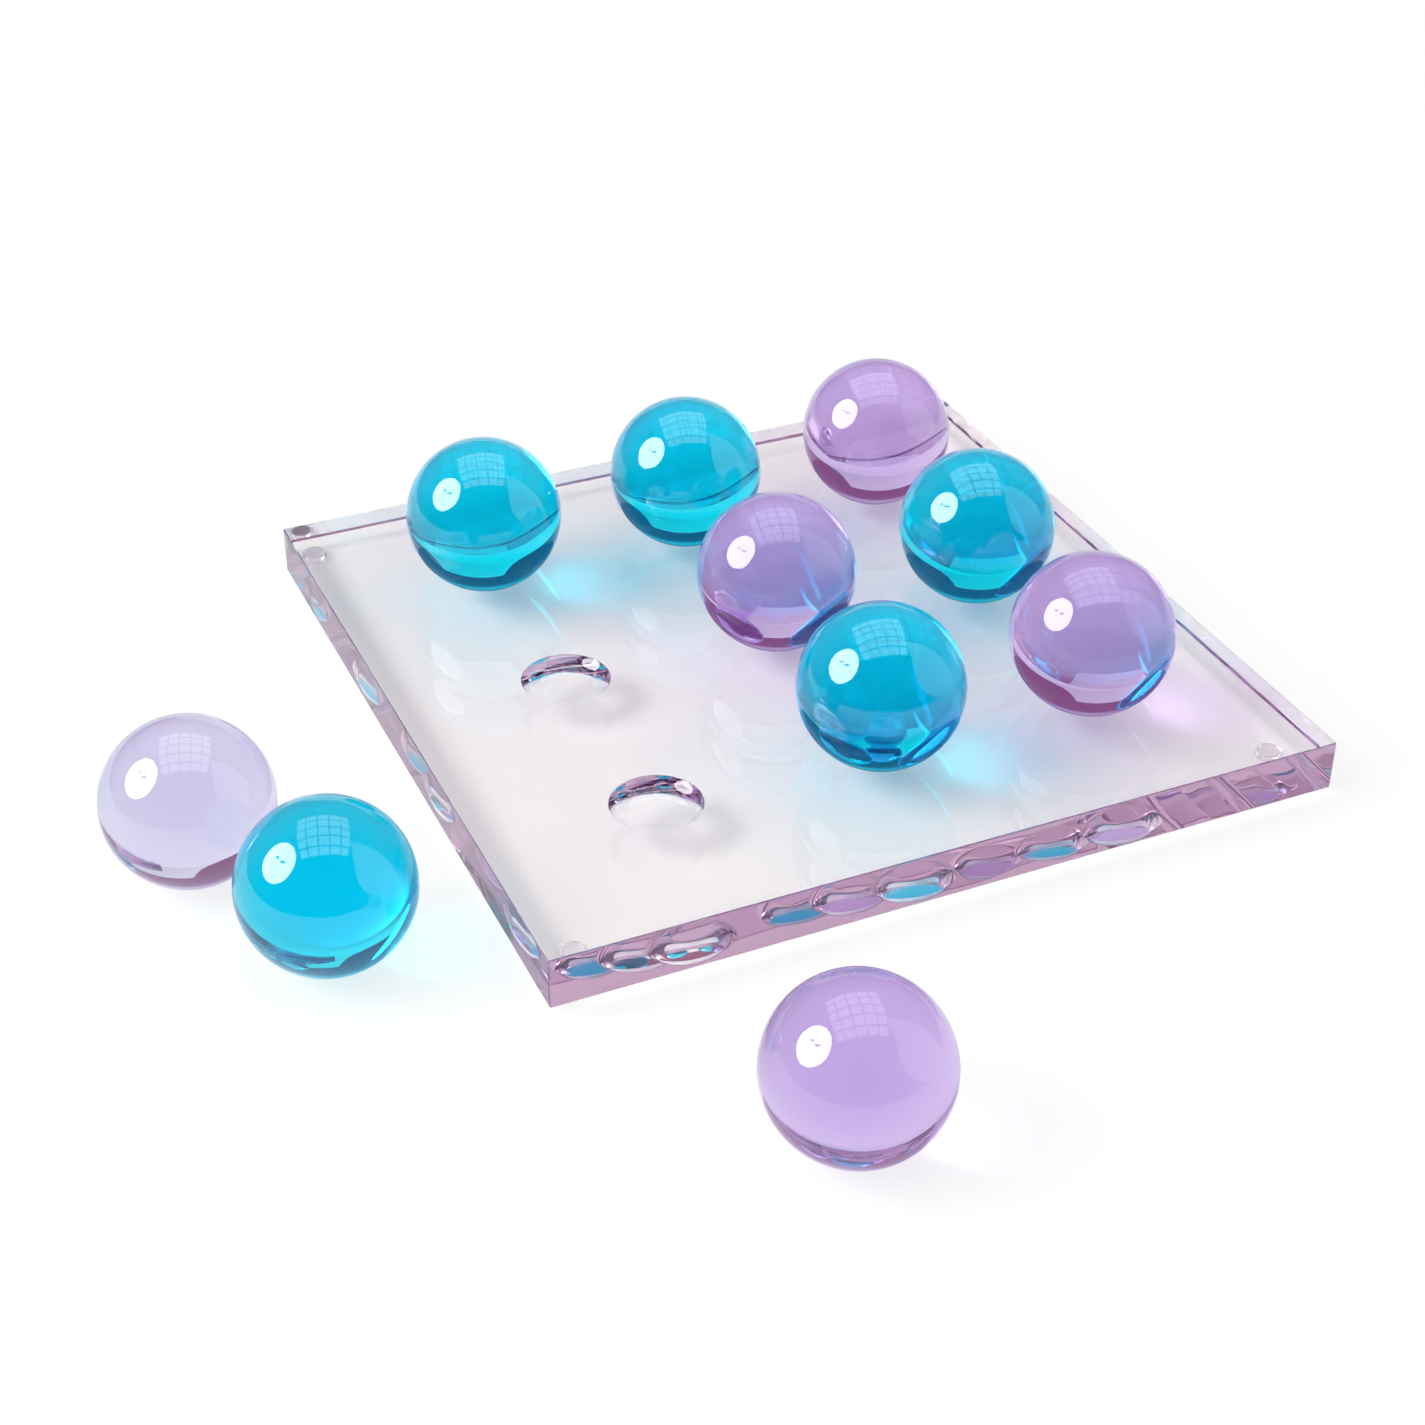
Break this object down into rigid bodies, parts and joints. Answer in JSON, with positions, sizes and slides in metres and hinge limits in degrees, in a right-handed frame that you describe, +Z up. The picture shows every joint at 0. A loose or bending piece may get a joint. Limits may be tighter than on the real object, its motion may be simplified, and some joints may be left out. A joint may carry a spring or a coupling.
{
  "type": "tic tac toe set",
  "caption": "Square clear acrylic tic tac toe board with shallow round bowl-shaped cups, solid acrylic balls in teal and violet, and small clear bumper feet.",
  "frame": {"origin": "middle of the footprint of the whole set, on the table that the feet and the loose balls stand on", "axes": "+Z up; +X along the board's front edge to its right; +Y from the front edge to the back edge"},
  "size_m": [0.276, 0.281, 0.0518],
  "materials": {
    "board_acrylic": "polished",
    "teal_acrylic": "polished",
    "violet_acrylic": "polished",
    "foot_polyurethane": "satin",
    "foot_adhesive": "satin"
  },
  "bodies": {
    "board": {"board": "board_acrylic", "foot_front_left": "foot_polyurethane", "foot_front_right": "foot_polyurethane", "foot_back_left": "foot_polyurethane", "foot_back_right": "foot_polyurethane", "foot_adhesive_front_left": "foot_adhesive", "foot_adhesive_front_right": "foot_adhesive", "foot_adhesive_back_left": "foot_adhesive", "foot_adhesive_back_right": "foot_adhesive"},
    "ball_teal_1": {"ball_teal_1": "teal_acrylic"},
    "ball_teal_2": {"ball_teal_2": "teal_acrylic"},
    "ball_teal_3": {"ball_teal_3": "teal_acrylic"},
    "ball_teal_4": {"ball_teal_4": "teal_acrylic"},
    "ball_teal_5": {"ball_teal_5": "teal_acrylic"},
    "ball_violet_1": {"ball_violet_1": "violet_acrylic"},
    "ball_violet_2": {"ball_violet_2": "violet_acrylic"},
    "ball_violet_3": {"ball_violet_3": "violet_acrylic"},
    "ball_violet_4": {"ball_violet_4": "violet_acrylic"},
    "ball_violet_5": {"ball_violet_5": "violet_acrylic"}
  },
  "joints": [
    {"name": "ball_teal_1_lift", "type": "slide", "parent": "board", "child": "ball_teal_1", "axis": [0, 0, 1], "range_m": [0, 0.06]},
    {"name": "ball_teal_2_lift", "type": "slide", "parent": "board", "child": "ball_teal_2", "axis": [0, 0, 1], "range_m": [0, 0.06]},
    {"name": "ball_teal_3_lift", "type": "slide", "parent": "board", "child": "ball_teal_3", "axis": [0, 0, 1], "range_m": [0, 0.06]},
    {"name": "ball_teal_4_lift", "type": "slide", "parent": "board", "child": "ball_teal_4", "axis": [0, 0, 1], "range_m": [0, 0.06]},
    {"name": "ball_teal_5_lift", "type": "slide", "parent": "board", "child": "ball_teal_5", "axis": [0, 0, 1], "range_m": [0, 0.06]},
    {"name": "ball_violet_1_lift", "type": "slide", "parent": "board", "child": "ball_violet_1", "axis": [0, 0, 1], "range_m": [0, 0.06]},
    {"name": "ball_violet_2_lift", "type": "slide", "parent": "board", "child": "ball_violet_2", "axis": [0, 0, 1], "range_m": [0, 0.06]},
    {"name": "ball_violet_3_lift", "type": "slide", "parent": "board", "child": "ball_violet_3", "axis": [0, 0, 1], "range_m": [0, 0.06]},
    {"name": "ball_violet_4_lift", "type": "slide", "parent": "board", "child": "ball_violet_4", "axis": [0, 0, 1], "range_m": [0, 0.06]},
    {"name": "ball_violet_5_lift", "type": "slide", "parent": "board", "child": "ball_violet_5", "axis": [0, 0, 1], "range_m": [0, 0.06]}
  ]
}
